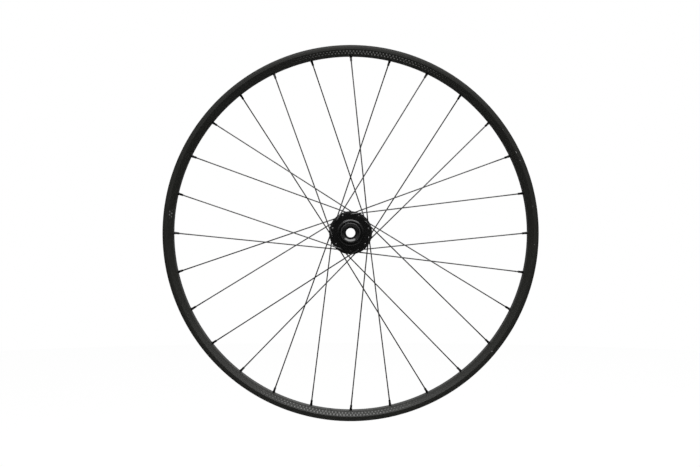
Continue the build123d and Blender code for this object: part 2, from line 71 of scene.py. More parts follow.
class Shade:
    """One output of a finish's nodes. Sums on it add Math nodes, and node() adds any other node."""

    def __init__(self, tree, socket=None):
        self.tree = tree
        self.socket = socket

    def node(self, kind, settings=None, sockets=None):
        """Adds a node with its settings, then its sockets' values or links, and gives its first output."""
        made = self.tree.nodes.new(kind)
        for name, value in (settings or {}).items():
            setattr(made, name, value)
        for name, value in (sockets or {}).items():
            if isinstance(value, Shade):
                self.tree.links.new(value.socket, made.inputs[name])
            else:
                made.inputs[name].default_value = value
        return Shade(self.tree, made.outputs[0])

    def output(self, name):
        """Another output of the same node."""
        return Shade(self.tree, self.socket.node.outputs[name])

    def into(self, node, name):
        """Links this output to a node's socket."""
        self.tree.links.new(self.socket, node.inputs[name])

    def maths(self, operation, *others):
        """A Math node that has this value first."""
        return self.node("ShaderNodeMath", {"operation": operation}, dict(enumerate((self, *others))))

    def part(self, axis):
        """X, Y or Z of a place."""
        return self.node("ShaderNodeSeparateXYZ", None, {0: self}).output(axis)

    def ramp(self, low, high, bottom=0.0, top=1.0):
        """A smooth step from bottom to top as the value goes from low to high."""
        sockets = {"Value": self, "From Min": low, "From Max": high, "To Min": bottom, "To Max": top}
        return self.node("ShaderNodeMapRange", {"interpolation_type": "SMOOTHSTEP"}, sockets)

    def blend(self, first, second):
        """The first colour where this mask is 0, and the second where it is 1."""
        made = self.node("ShaderNodeMix", {"data_type": "RGBA"}, {0: self, 6: first, 7: second})
        return made.output(2)

    def grain(self, scale, detail=3.0):
        """Noise from 0 to 1 at this place, with about as many grains in a metre as the scale says."""
        return self.node("ShaderNodeTexNoise", None, {"Vector": self, "Scale": scale, "Detail": detail})

    def bump(self, strength, depth):
        """A normal from this height, for a depth in metres."""
        sockets = {"Strength": strength, "Distance": depth, "Height": self}
        return self.node("ShaderNodeBump", None, sockets)

    def __add__(self, other):
        return self.maths("ADD", other)

    def __sub__(self, other):
        return self.maths("SUBTRACT", other)

    def __rsub__(self, other):
        return self * -1.0 + other

    def __mul__(self, other):
        return self.maths("MULTIPLY", other)

    def __truediv__(self, other):
        return self.maths("DIVIDE", other)

    __radd__ = __add__
    __rmul__ = __mul__


def new_finish(name, **constants):
    """A material, its shader with the constant sockets set, and its Object coordinates."""
    material = bpy.data.materials.new(name)
    material.use_nodes = True
    shader = material.node_tree.nodes["Principled BSDF"]
    for socket, value in constants.items():
        shader.inputs[socket.replace("_", " ")].default_value = value
    place = Shade(material.node_tree).node("ShaderNodeTexCoord").output("Object")
    return material, shader, place


def lathe_place(place):
    """Distance from the axle and place along it, in millimetres."""
    x = place.part("X")
    z = place.part("Z")
    return (x * x + z * z).maths("SQRT") / MM, place.part("Y") / MM


def turning_marks(place, lines_per_mm):
    """Fine rings that a lathe tool leaves, even all the way round."""
    radius, along = lathe_place(place)
    sockets = {"X": radius * lines_per_mm, "Y": along * lines_per_mm}
    return place.node("ShaderNodeCombineXYZ", None, sockets).grain(scale=1.0, detail=1.5)


def turned_finish(name, colour, other_colour, roughness, lines_per_mm, edge=None, **constants):
    """Turned metal: faint lathe rings, slow changes of tone, and small handling marks.

    Its edge, given as two radii, a colour and an added roughness, can be duller, or lighter where its
    colour is a painted highlight.
    """
    material, shader, place = new_finish(name, **constants)
    marks = turning_marks(place, lines_per_mm)
    clouds = place.grain(TURNED_CLOUDS)
    specks = place.grain(TURNED_SPECKS, detail=2.0).ramp(*TURNED_SPECK_FADE)
    tone = ((marks + clouds) / 2.0).blend(colour, other_colour)
    smoothest = roughness - (MARKS_DULL + CLOUDS_DULL) / 2
    dull = smoothest + marks * MARKS_DULL + clouds * CLOUDS_DULL + specks * SPECKS_DULL
    if edge:
        inner_r, outer_r, edge_colour, edge_dull = edge
        radius, _ = lathe_place(place)
        past_inner = radius.ramp(inner_r - EDGE_BLUR, inner_r + EDGE_BLUR)
        on_edge = past_inner * radius.ramp(outer_r, outer_r + 2 * EDGE_BLUR, 1.0, 0.0)
        tone = on_edge.blend(tone, edge_colour)
        dull = dull + on_edge * edge_dull
        coat = shader.inputs["Coat Weight"].default_value
        on_edge.ramp(0.0, 1.0, coat, 0.0).into(shader, "Coat Weight")
    tone.into(shader, "Base Color")
    dull.into(shader, "Roughness")
    (marks + specks * SPECKS_RISE).bump(MARKS_BUMP, MARKS_DEPTH).into(shader, "Normal")
    return material


def round_corner(bm, corner, radius, segments):
    """Rounds one corner of a flat outline to a radius."""
    ways = [(edge.other_vert(corner).co - corner.co).normalized() for edge in corner.link_edges]
    tangent = radius / math.tan(ways[0].angle(ways[1]) / 2)
    bmesh.ops.bevel(
        bm,
        geom=[corner],
        offset=tangent,
        offset_type="OFFSET",
        affect="VERTICES",
        segments=segments,
        profile=0.5,
        material=-1,
    )


def spin_round(bm, geom, axis, steps):
    """Spins an outline all the way round an axis through the origin."""
    bmesh.ops.spin(
        bm, geom=geom, cent=(0, 0, 0), axis=axis, angle=2 * math.pi, steps=steps, use_merge=True
    )


def turned(corners, steps, segments=CORNER_STEPS):
    """A ring spun about the axle from a closed outline of (radius, place along it, rounding) corners."""
    bm = bmesh.new()
    points = [bm.verts.new((radius, along, 0)) for radius, along, _ in corners]
    bm.faces.new(points)
    for point, (_, _, rounding) in zip(points, corners):
        if rounding:
            round_corner(bm, point, rounding, segments)
    bmesh.ops.delete(bm, geom=bm.faces[:], context="FACES_ONLY")
    spin_round(bm, bm.verts[:] + bm.edges[:], (0, 1, 0), steps)
    bmesh.ops.recalc_face_normals(bm, faces=bm.faces)
    return bm


def both_halves(corners):
    """The corners of a left half, then the same mirrored to the right."""
    return corners + [(radius, -along, rounding) for radius, along, rounding in reversed(corners)]


def finished(bm, name, finish, body, node, crease=CREASE_ANGLE):
    """Makes the piece's object from a mesh in millimetres and fits it to the frame."""
    bmesh.ops.remove_doubles(bm, verts=bm.verts, dist=WELD)
    bmesh.ops.recalc_face_normals(bm, faces=bm.faces)
    bmesh.ops.scale(bm, vec=(MM, MM, MM), verts=bm.verts)
    mesh = bpy.data.meshes.new(name)
    bm.to_mesh(mesh)
    bm.free()
    mesh.materials.append(finish)
    mesh.shade_smooth()
    mesh.set_sharp_from_angle(angle=math.radians(crease))
    piece = bpy.data.objects.new(name, mesh)
    bpy.context.scene.collection.objects.link(piece)
    weighting = piece.modifiers.new("flat_faces_stay_flat", "WEIGHTED_NORMAL")
    weighting.keep_sharp = True
    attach(piece, body)
    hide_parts(node)


axle_corners = [
    (AXLE_SHOULDER_R, BEARING_SHOULDER, EDGE_BREAK),
    (AXLE_SEAT_R, BEARING_SHOULDER, 0),
    (AXLE_SEAT_R, RING_GROOVE_IN, 0),
    (RING_GROOVE_R, RING_GROOVE_IN, 0),
    (RING_GROOVE_R, RING_GROOVE_OUT, 0),
    (AXLE_SEAT_R, RING_GROOVE_OUT, 0),
    (AXLE_SEAT_R, AXLE_END, EDGE_BREAK),
    (AXLE_BORE_R, AXLE_END, EDGE_BREAK),
]
axle_finish = turned_finish(
    "clear_anodised", AXLE_GREY, AXLE_DARK_GREY, roughness=0.34, lines_per_mm=6.0, Metallic=1.0
)
axle_mesh = turned(both_halves(axle_corners), AXLE_STEPS)
finished(axle_mesh, "axle_tube_turned", axle_finish, "axle", "axle_tube")

# Bearings
# Two cartridge bearings: hardened steel races with a ring of steel balls in a nylon cage.
# A rubber seal closes each face. They are pushed into the hub and can't be seen once it is shut.
STEEL_GREY = (0.56, 0.56, 0.58, 1.0)
STEEL_DARK_GREY = (0.44, 0.44, 0.46, 1.0)
RUBBER_BLACK = (0.018, 0.018, 0.02, 1.0)
RUBBER_GREY = (0.034, 0.034, 0.037, 1.0)
NYLON_CREAM = (0.66, 0.62, 0.5, 1.0)
NYLON_PALE = (0.78, 0.75, 0.66, 1.0)
MOULD_GRAIN = 5200.0
MOULD_CLOUDS = 260.0
MOULD_CLOUD_SHARE = 0.7
MOULD_DULL = 0.12
MOULD_BUMP = 0.25
MOULD_DEPTH = 0.05 * MM


def moulded_finish(name, colour, other_colour, roughness, **constants):
    """A moulded piece: a fine mould texture, slow changes of tone and a faint bloom."""
    material, shader, place = new_finish(name, **constants)
    texture = place.grain(MOULD_GRAIN, detail=2.0)
    clouds = place.grain(MOULD_CLOUDS)
    tone = clouds * MOULD_CLOUD_SHARE + texture * (1 - MOULD_CLOUD_SHARE)
    tone.blend(colour, other_colour).into(shader, "Base Color")
    (roughness - MOULD_DULL / 2 + clouds * MOULD_DULL).into(shader, "Roughness")
    texture.bump(MOULD_BUMP, MOULD_DEPTH).into(shader, "Normal")
    return material


def refinish(node, finish):
    """Gives a piece of the frame that stays its own finish."""
    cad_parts[node].material_slots[0].material = finish


steel_finish = turned_finish(
    "ground_steel", STEEL_GREY, STEEL_DARK_GREY, roughness=0.22, lines_per_mm=9.0, Metallic=1.0
)
seal_finish = moulded_finish("seal_rubber", RUBBER_BLACK, RUBBER_GREY, roughness=0.62)
cage_finish = moulded_finish("cage_nylon", NYLON_CREAM, NYLON_PALE, roughness=0.48)
for side in ("right", "left"):
    for piece_name in ("outer_race", "inner_race", "balls"):
        refinish(f"{side}_bearing_{piece_name}", steel_finish)
    for piece_name in ("outboard_seal", "inboard_seal"):
        refinish(f"{side}_bearing_{piece_name}", seal_finish)
    refinish(f"{side}_bearing_cage", cage_finish)

# Hub shell
# One aluminium body, forged, turned and drilled, then polished and anodised black. It has a drilled
# flange at each end for the spokes, seats for the bearings, and six tapped lobes for a brake rotor.
AXLE_WAY = Vector((0, 1, 0))
NEAR_AXLE_WAY = 0.9
SPOKE_COUNT = 28
CROSSES = 3
KINDS = 4
RIM_PITCH = 360.0 / SPOKE_COUNT
FLANGE_PITCH = 2 * RIM_PITCH
RIM_HOLE_STAGGER = 1.5
RIM_FLOOR_R = 284.1
CROSSING_GAP = 0.2
CROSSING_BEND_RADIUS = 40.0
SPOKE_R = 1.0
BUTTED_R = 0.9
ELBOW_RADIUS = 2.6
ELBOW_STANDOFF = 0.4
HEAD_R = 1.8
HOLE_R = 29.0
FLANGE_R = 33.85
FLANGE_LAND_R = HOLE_R + HEAD_R + EDGE_BREAK
FLANGE_THICKNESS = 3.2
FLANGE_OFFSETS = {-1: 33.5, 1: 26.5}
FLANGE_EDGE_ROUND = 0.6
SPOKE_HOLE_R = 1.25
SPOKE_HOLE_CHAMFER = 0.4
SPOKE_FLANGE_CLEARANCE = 0.35
BARREL_END_R = 17.8
BARREL_WAIST_R = 16.8
BARREL_ROUND = 7.0
WAIST_ROUND = 100.0
RIGHT_BOSS_R = 20.5
RIGHT_BOSS_ROUND = 2.2
RIGHT_SHELL_END = 46.0
RECESS_R = 17.5
RIGHT_ROOT_ROUND = 0.6
ROOT_ROUND = 1.5
BEARING_FACE = 44.0
BEARING_SEAT_R = 16.02
SHELL_SHOULDER_R = 14.52
ROTOR_FACE = 44.5
ROTOR_BOSS_R = 20.5
ROTOR_NECK_R = 20.0
ROTOR_HOLE_CIRCLE_R = 22.0
ROTOR_HOLE_COUNT = 6
ROTOR_HOLE_R = 2.1
ROTOR_THREAD_R = 2.42
ROTOR_THREAD_PITCH = 0.8
ROTOR_HOLE_DEPTH = 9.0
ROTOR_HOLE_CHAMFER = 0.5
ROTOR_LOBE_R = 4.4
ROTOR_LOBE_LENGTH = 11.5
ROTOR_LOBE_ROUND = 3.5
SPIGOT_R = 17.45
SPIGOT_END = 46.5
SHELL_STEPS = 196
DRILL_STEPS = 20
BOSS_ARC_STEPS = 3
FILLET_ARC_STEPS = 5
LOBE_ARC_STEPS = 14
LOBE_EDGE_STEPS = 2
HUB_BLACK = (0.0032, 0.0032, 0.0033, 1.0)
HUB_SOFT_BLACK = (0.0055, 0.0055, 0.0056, 1.0)
FLANGE_EDGE_DULL = 0.5


def around(radius, angle, along=0.0):
    """A point at a radius and an angle from the top, at a place along the axle."""
    turn = math.radians(angle)
    return Vector((radius * math.sin(turn), along, radius * math.cos(turn)))


class Lacing:
    """The line of the first spoke of one of the four kinds, from its flange hole to its rim hole.

    Kinds 0 and 2 hang on the right flange, 1 and 3 on the left. Kinds 1 and 2 have their elbows outside
    the flange. At the last crossing the outside spoke passes under the inside one, and both bend there.
    """

    def __init__(self, kind):
        side = -1 if kind % 2 == 0 else 1
        outside = kind in (1, 2)
        lean = -1 if outside else 1
        rim_angle = kind * RIM_PITCH
        hub_angle = rim_angle + lean * CROSSES * FLANGE_PITCH
        self.exit_way = AXLE_WAY * (side if outside else -side)
        self.hole = around(HOLE_R, hub_angle, side * FLANGE_OFFSETS[side])
        self.seat = around(RIM_FLOOR_R, rim_angle, side * RIM_HOLE_STAGGER)

        ray = around(1.0, hub_angle - lean * (CROSSES - 0.5) * FLANGE_PITCH)
        span = self.seat - self.hole
        share = -ray.cross(self.hole).y / ray.cross(span).y
        self.crossing = self.hole + span * share - self.exit_way * (BUTTED_R + CROSSING_GAP / 2)

        self.head_seat = self.hole - self.exit_way * (FLANGE_THICKNESS / 2)
        elbow = self.hole + self.exit_way * (FLANGE_THICKNESS / 2 + ELBOW_STANDOFF)
        reach = self.crossing - elbow
        rise = reach.dot(self.exit_way)
        self.out_way = (reach - self.exit_way * rise).normalized()
        run = reach.dot(self.out_way) - ELBOW_RADIUS
        turn = math.atan2(run, rise) + math.asin(ELBOW_RADIUS / math.hypot(run, rise))
        self.elbow_turn = turn
        self.way = self.exit_way * math.cos(turn) + self.out_way * math.sin(turn)
        elbow_centre = elbow + self.out_way * ELBOW_RADIUS
        inward = self.exit_way * math.sin(turn) - self.out_way * math.cos(turn)
        self.elbow_end = elbow_centre + inward * ELBOW_RADIUS

        self.last_way = (self.seat - self.crossing).normalized()
        self.bend_turn = self.way.angle(self.last_way)
        tangent = CROSSING_BEND_RADIUS * math.tan(self.bend_turn / 2)
        self.bend_start = self.crossing - self.way * tangent
        self.bend_end = self.crossing + self.last_way * tangent
        self.bend_side = (self.last_way - self.way * self.way.dot(self.last_way)).normalized()

    def flange_drop(self):
        """How far the flange's edge falls away for the outside spoke to pass over it."""
        along = self.hole.dot(self.out_way)
        run = math.sqrt(along**2 + FLANGE_R**2 - HOLE_R**2) - along
        from_hole = self.elbow_end - self.hole
        height = from_hole.dot(self.exit_way) - FLANGE_THICKNESS / 2 - SPOKE_R
        fall = -self.way.dot(self.exit_way) / self.way.dot(self.out_way)
        return (run - from_hole.dot(self.out_way)) * fall - height + SPOKE_FLANGE_CLEARANCE


def every_turn(count):
    """The turns about the axle that repeat a shape count times."""
    return [Matrix.Rotation(index * 2 * math.pi / count, 4, "Y") for index in range(count)]


LACINGS = [Lacing(kind) for kind in range(KINDS)]
EVERY_SPOKE = [(lacing, turn) for lacing in LACINGS for turn in every_turn(SPOKE_COUNT // KINDS)]


def aimed(origin, way, side=None):
    """The matrix that carries +Z to a way and the origin to a point, with +X near a side."""
    z = way.normalized()
    side = side or (AXLE_WAY if abs(z.dot(AXLE_WAY)) < NEAR_AXLE_WAY else Vector((1, 0, 0)))
    x = (side - z * side.dot(z)).normalized()
    y = z.cross(x)
    return Matrix.Translation(origin) @ Matrix((x, y, z)).transposed().to_4x4()


def lathe_solid(bm, stations, steps, place):
    """Adds a closed round solid of (distance, radius) stations along +Z, carried by a matrix."""
    profile = [(0, stations[0][0])] + [(radius, distance) for distance, radius in stations]
    profile.append((0, stations[-1][0]))
    points = [bm.verts.new((radius, 0, distance)) for radius, distance in profile]
    edges = [bm.edges.new(pair) for pair in zip(points, points[1:])]
    before = set(bm.verts) - set(points)
    spin_round(bm, points + edges, (0, 0, 1), steps)
    made = [vert for vert in bm.verts if vert not in before]
    bmesh.ops.remove_doubles(bm, verts=made, dist=WELD)
    made = [vert for vert in bm.verts if vert not in before]
    bmesh.ops.transform(bm, matrix=place, verts=made)


def carved(bm, tool, operation="DIFFERENCE"):
    """The mesh with a tool's closed shapes taken away, or joined on. Both meshes are used up."""
    objects = []
    for name, source in (("blank", bm), ("tool", tool)):
        bmesh.ops.recalc_face_normals(source, faces=source.faces)
        mesh = bpy.data.meshes.new(name)
        source.to_mesh(mesh)
        source.free()
        objects.append(bpy.data.objects.new(name, mesh))
        bpy.context.scene.collection.objects.link(objects[-1])
    cut = objects[0].modifiers.new("cut", "BOOLEAN")
    cut.operation = operation
    cut.solver = "EXACT"
    cut.object = objects[1]
    made = bmesh.new()
    made.from_object(objects[0], bpy.context.evaluated_depsgraph_get())
    for spent in objects:
        bpy.data.meshes.remove(spent.data)
    bmesh.ops.dissolve_degenerate(made, edges=made.edges, dist=WELD)
    return made


def verts_in(geom):
    return [item for item in geom if isinstance(item, bmesh.types.BMVert)]


def edges_in(geom):
    return [item for item in geom if isinstance(item, bmesh.types.BMEdge)]


def shell_blank():
    """The shell as it comes off the lathe, with both flanges and the bearing seats."""
    half = FLANGE_THICKNESS / 2
    right_out = -FLANGE_OFFSETS[-1] - half
    right_in = -FLANGE_OFFSETS[-1] + half
    left_in = FLANGE_OFFSETS[1] - half
    left_out = FLANGE_OFFSETS[1] + half
    right_drop = max(LACINGS[2].flange_drop(), FLANGE_EDGE_ROUND)
    left_drop = max(LACINGS[1].flange_drop(), FLANGE_EDGE_ROUND)
    corners = [
        (BEARING_SEAT_R, -BEARING_FACE, 0),
        (RECESS_R, -BEARING_FACE, EDGE_BREAK),
        (RECESS_R, -RIGHT_SHELL_END, EDGE_BREAK),
        (RIGHT_BOSS_R, -RIGHT_SHELL_END, RIGHT_BOSS_ROUND),
        (RIGHT_BOSS_R, right_out, RIGHT_ROOT_ROUND),
        (FLANGE_LAND_R, right_out, FLANGE_EDGE_ROUND),
        (FLANGE_R, right_out + right_drop, FLANGE_EDGE_ROUND),
        (FLANGE_R, right_in, FLANGE_EDGE_ROUND),
        (BARREL_END_R, right_in, BARREL_ROUND),
        (BARREL_WAIST_R, (right_in + left_in) / 2, WAIST_ROUND),
        (BARREL_END_R, left_in, BARREL_ROUND),
        (FLANGE_R, left_in, FLANGE_EDGE_ROUND),
        (FLANGE_R, left_out - left_drop, FLANGE_EDGE_ROUND),
        (FLANGE_LAND_R, left_out, FLANGE_EDGE_ROUND),
        (ROTOR_NECK_R, left_out, ROOT_ROUND),
        (ROTOR_NECK_R, ROTOR_FACE, 0),
        (SPIGOT_R, ROTOR_FACE, EDGE_BREAK),
        (SPIGOT_R, SPIGOT_END, EDGE_BREAK),
        (BEARING_SEAT_R, SPIGOT_END, EDGE_BREAK),
        (BEARING_SEAT_R, BEARING_SHOULDER, 0),
        (SHELL_SHOULDER_R, BEARING_SHOULDER, 0),
        (SHELL_SHOULDER_R, -BEARING_SHOULDER, 0),
        (BEARING_SEAT_R, -BEARING_SHOULDER, 0),
    ]
    return turned(corners, SHELL_STEPS)


def rotor_lobes():
    """The six-lobed block that a rotor is bolted to, with its outline drawn by turning a point."""
    bm = bmesh.new()
    lobe_start = ROTOR_FACE - ROTOR_LOBE_LENGTH
    lobe_centre_r = ROTOR_HOLE_CIRCLE_R
    fillet_centre_r = ROTOR_BOSS_R + ROTOR_LOBE_ROUND
    reach = ROTOR_LOBE_R + ROTOR_LOBE_ROUND
    squares = fillet_centre_r**2 + lobe_centre_r**2 - reach**2
    fillet_turn = math.acos(squares / (2 * fillet_centre_r * lobe_centre_r))
    half_pitch = math.pi / ROTOR_HOLE_COUNT
    axle_point = Vector((0, lobe_start, 0))
    lobe = Vector((lobe_centre_r, lobe_start, 0))
    low_fillet = Vector((math.cos(fillet_turn), 0, -math.sin(fillet_turn))) * fillet_centre_r
    low_fillet.y = lobe_start
    high_fillet = Vector((low_fillet.x, lobe_start, -low_fillet.z))
    lobe_turn = math.pi - math.atan2(-low_fillet.z, lobe_centre_r - low_fillet.x)
    bend = lobe_turn - fillet_turn
    arcs = [
        (axle_point, half_pitch - fillet_turn, BOSS_ARC_STEPS),
        (low_fillet, -bend, FILLET_ARC_STEPS),
        (lobe, 2 * lobe_turn, LOBE_ARC_STEPS),
        (high_fillet, -bend, FILLET_ARC_STEPS),
        (axle_point, half_pitch - fillet_turn, BOSS_ARC_STEPS),
    ]
    start = Vector((math.cos(half_pitch), 0, -math.sin(half_pitch))) * ROTOR_BOSS_R
    tip = [bm.verts.new((start.x, lobe_start, start.z))]
    for centre, angle, steps in arcs:
        drawn = bmesh.ops.spin(bm, geom=tip, cent=centre, axis=(0, -1, 0), angle=angle, steps=steps)
        tip = verts_in(drawn["geom_last"])
    bmesh.ops.spin(
        bm,
        geom=bm.verts[:] + bm.edges[:],
        cent=axle_point,
        axis=(0, 1, 0),
        angle=2 * math.pi,
        steps=ROTOR_HOLE_COUNT,
        use_duplicate=True,
    )
    bmesh.ops.remove_doubles(bm, verts=bm.verts, dist=WELD)
    face = bmesh.ops.contextual_create(bm, geom=bm.edges)["faces"]
    raised = bmesh.ops.extrude_face_region(bm, geom=face, use_keep_orig=True)["geom"]
    bmesh.ops.translate(bm, verts=verts_in(raised), vec=AXLE_WAY * ROTOR_LOBE_LENGTH)
    bmesh.ops.bevel(
        bm,
        geom=edges_in(raised),
        offset=EDGE_BREAK,
        offset_type="OFFSET",
        affect="EDGES",
        segments=LOBE_EDGE_STEPS,
        profile=0.5,
        material=-1,
    )
    return bm


def hub_drills():
    """A chamfered hole for each spoke, and a threaded one in each lobe, as closed shapes."""
    drills = bmesh.new()
    half = FLANGE_THICKNESS / 2
    chamfer = SPOKE_HOLE_CHAMFER
    spoke_hole = [
        (-half - chamfer, SPOKE_HOLE_R + 2 * chamfer),
        (-half + chamfer, SPOKE_HOLE_R),
        (half - chamfer, SPOKE_HOLE_R),
        (half + chamfer, SPOKE_HOLE_R + 2 * chamfer),
    ]
    for lacing, turn in EVERY_SPOKE:
        lathe_solid(drills, spoke_hole, DRILL_STEPS, turn @ aimed(lacing.hole, lacing.exit_way))
    bolt_hole = [(-ROTOR_HOLE_CHAMFER, ROTOR_HOLE_R + 2 * ROTOR_HOLE_CHAMFER)]
    threads = int(ROTOR_HOLE_DEPTH / ROTOR_THREAD_PITCH)
    for thread in range(1, threads):
        bolt_hole.append((thread * ROTOR_THREAD_PITCH, ROTOR_HOLE_R))
        bolt_hole.append(((thread + 0.5) * ROTOR_THREAD_PITCH, ROTOR_THREAD_R))
    bolt_hole.append((ROTOR_HOLE_DEPTH, ROTOR_HOLE_R))
    first = aimed(Vector((ROTOR_HOLE_CIRCLE_R, ROTOR_FACE, 0)), -AXLE_WAY)
    for turn in every_turn(ROTOR_HOLE_COUNT):
        lathe_solid(drills, bolt_hole, DRILL_STEPS, turn @ first)
    return drills


def hub_shell():
    """The turned shell with its lobes joined on and every hole drilled."""
    core = bmesh.new()
    core_r = (ROTOR_BOSS_R + BEARING_SEAT_R) / 2
    lathe_solid(core, [(0, core_r), (SPIGOT_END, core_r)], SHELL_STEPS, aimed(Vector(), AXLE_WAY))
    lobed = carved(shell_blank(), carved(rotor_lobes(), core), "UNION")
    return carved(lobed, hub_drills())


hub_finish = turned_finish(
    "hub_black_anodised",
    HUB_BLACK,
    HUB_SOFT_BLACK,
    roughness=0.17,
    lines_per_mm=5.0,
    edge=(FLANGE_LAND_R, FLANGE_R, HUB_BLACK, FLANGE_EDGE_DULL),
    Coat_Weight=0.9,
    Coat_Roughness=0.1,
)
finished(hub_shell(), "hub_body", hub_finish, "wheel", "hub_shell")

# End caps
# A turned aluminium cap at each end of the axle, anodised black, with a dust lip close to the shell,
# a waist, and a dished face against the fork. It pushes on over a rubber ring in the axle's groove.
END_FACE = 55.0
CAP_FIT = 0.02
CAP_NOSE_R = 11.4
CAP_LIP_R = 15.8
CAP_LIP_THICKNESS = 1.4
CAP_LIP_GAP = 0.5
CAP_NECK_R = 12.6
CAP_DISC_R = 15.0
CAP_DISC_THICKNESS = 4.0
CAP_EDGE_ROUND = 1.0
DISH_R = 13.4
DISH_FLOOR_R = 10.4
DISH_DEPTH = 2.4
CAP_STEPS = 128
CAP_BLACK = (0.0034, 0.0034, 0.0035, 1.0)
CAP_SOFT_BLACK = (0.006, 0.006, 0.0061, 1.0)
# A painted highlight: the lighter grey painted evenly all round the cap's edge round.
CAP_EDGE_HIGHLIGHT_GREY = (0.046, 0.046, 0.046, 1.0)
CAP_EDGE_DULL = 0.3


def end_cap(shell_end):
    """A left cap, with its lip beside the place along the axle where the shell ends."""
    socket_r = AXLE_SEAT_R + CAP_FIT
    socket_end = AXLE_END + CAP_FIT
    lip_in = shell_end + CAP_LIP_GAP
    lip_out = lip_in + CAP_LIP_THICKNESS
    disc_in = END_FACE - CAP_DISC_THICKNESS
    dish_floor = END_FACE - DISH_DEPTH
    corners = [
        (socket_r, BEARING_FACE, 0),
        (CAP_NOSE_R, BEARING_FACE, 0),
        (CAP_NOSE_R, lip_in, 0),
        (CAP_LIP_R, lip_in, EDGE_BREAK),
        (CAP_LIP_R, lip_out, EDGE_BREAK),
        (CAP_NECK_R, lip_out, EDGE_BREAK),
        (CAP_NECK_R, disc_in, EDGE_BREAK),
        (CAP_DISC_R, disc_in, EDGE_BREAK),
        (CAP_DISC_R, END_FACE, CAP_EDGE_ROUND),
        (DISH_R, END_FACE, EDGE_BREAK),
        (DISH_FLOOR_R, dish_floor, EDGE_BREAK),
        (AXLE_BORE_R, dish_floor, EDGE_BREAK),
        (AXLE_BORE_R, socket_end, 0),
        (socket_r, socket_end, 0),
    ]
    return turned(corners, CAP_STEPS)


# The cap's edge round is painted a lighter grey all the way round, as a painted highlight of the ring of
# light that rounding catches.
cap_finish = turned_finish(
    "cap_black_anodised",
    CAP_BLACK,
    CAP_SOFT_BLACK,
    roughness=0.18,
    lines_per_mm=5.0,
    edge=(CAP_DISC_R - CAP_EDGE_ROUND, CAP_DISC_R, CAP_EDGE_HIGHLIGHT_GREY, CAP_EDGE_DULL),
    Coat_Weight=0.7,
)
ring_finish = moulded_finish("o_ring_rubber", RUBBER_BLACK, RUBBER_GREY, roughness=0.5)
for side, shell_end, flip in (("right", RIGHT_SHELL_END, -1), ("left", SPIGOT_END, 1)):
    cap = end_cap(shell_end)
    bmesh.ops.scale(cap, vec=(1, flip, 1), verts=cap.verts)
    finished(cap, f"{side}_cap_dished", cap_finish, "axle", f"{side}_end_cap")
    refinish(f"{side}_cap_o_ring", ring_finish)

# Spokes
# Butted stainless steel wire, coated black: thick at the elbow and the thread, thinner between.
# Each has a forged head and a bend that sits in its flange hole, and is laced across three others.
HEAD_HEIGHT = 1.2
HEAD_RIM = 0.4
HEAD_FILLET = 0.25
# The wire is drawn this much fuller than the solid's, to give the line width that the photo shows.
DRAWN_FULLER = 0.08
WIRE_R = SPOKE_R + DRAWN_FULLER
THIN_WIRE_R = BUTTED_R + DRAWN_FULLER
BUTT_LENGTH = 12.0
BUTT_TAPER = 10.0
SPOKE_TIP = 0.8
THREAD_LENGTH = 24.0
SPOKE_SIDES = 20
ELBOW_STEPS = 12
CROSSING_STEPS = 5
DOME_STEPS = 5
SPOKE_CREASE_ANGLE = 40
SPOKE_BLACK = (0.012, 0.012, 0.0122, 1.0)
SPOKE_GREY = (0.022, 0.022, 0.0224, 1.0)
SPOKE_CLOUDS = 220.0
SPOKE_SPECKS = 2600.0
SPOKE_SPECK_FADE = (0.58, 0.76)
SPOKE_ROUGHNESS = 0.2
SPOKE_CLOUD_DULL = 0.12
SPOKE_SPECK_DULL = 0.06
SPOKE_CLOUD_RISE = 0.4
SPOKE_BUMP = 0.05
SPOKE_BUMP_DEPTH = 0.02 * MM


class Drawing:
    """A round wire drawn on from an open ring of edges by straight runs and bends."""

    def __init__(self, bm, ring, centre, way):
        self.bm = bm
        self.ring = ring
        self.centre = centre
        self.way = way

    def straight(self, length, growth=1.0):
        """Runs straight on for a length, and ends growth times as thick."""
        made = bmesh.ops.extrude_edge_only(self.bm, edges=self.ring)["geom"]
        end = verts_in(made)
        self.ring = [edge for edge in edges_in(made) if set(edge.verts) <= set(end)]
        move = Matrix.Translation(self.way * length)
        swell = Matrix.Translation(self.centre) @ Matrix.Scale(growth, 4) @ Matrix.Translation(-self.centre)
        bmesh.ops.transform(self.bm, matrix=move @ swell, verts=end)
        self.centre = self.centre + self.way * length

    def bend(self, side, radius, angle, steps):
        """Turns towards a side by an angle, with the wire's middle at a radius."""
        hinge = self.way.cross(side)
        middle = self.centre + side * radius
        start = list(dict.fromkeys(vert for edge in self.ring for vert in edge.verts)) + self.ring
        made = bmesh.ops.spin(self.bm, geom=start, cent=middle, axis=hinge, angle=angle, steps=steps)
        self.ring = edges_in(made["geom_last"])
        turn = Matrix.Rotation(angle, 3, hinge)
        self.centre = middle + turn @ (self.centre - middle)
        self.way = turn @ self.way


def spoke_head():
    """The domed head about +Z, with its seat at the origin. It is open where the wire goes on."""
    bm = bmesh.new()
    rise = HEAD_HEIGHT - HEAD_RIM
    dome_r = (HEAD_R**2 + rise**2) / (2 * rise)
    dome_centre = (0, 0, dome_r - HEAD_HEIGHT)
    half_dome = math.asin(HEAD_R / dome_r)
    pole = [bm.verts.new((0, 0, -HEAD_HEIGHT))]
    bmesh.ops.spin(bm, geom=pole, cent=dome_centre, axis=(0, -1, 0), angle=half_dome, steps=DOME_STEPS)
    last = max(bm.verts, key=lambda vert: vert.co.x)
    for radius, height in ((HEAD_R, 0), (WIRE_R + HEAD_FILLET, 0), (WIRE_R, HEAD_FILLET)):
        corner = bm.verts.new((radius, 0, height))
        bm.edges.new((last, corner))
        last = corner
    spin_round(bm, bm.verts[:] + bm.edges[:], (0, 0, 1), SPOKE_SIDES)
    bmesh.ops.remove_doubles(bm, verts=bm.verts, dist=WELD)
    return bm


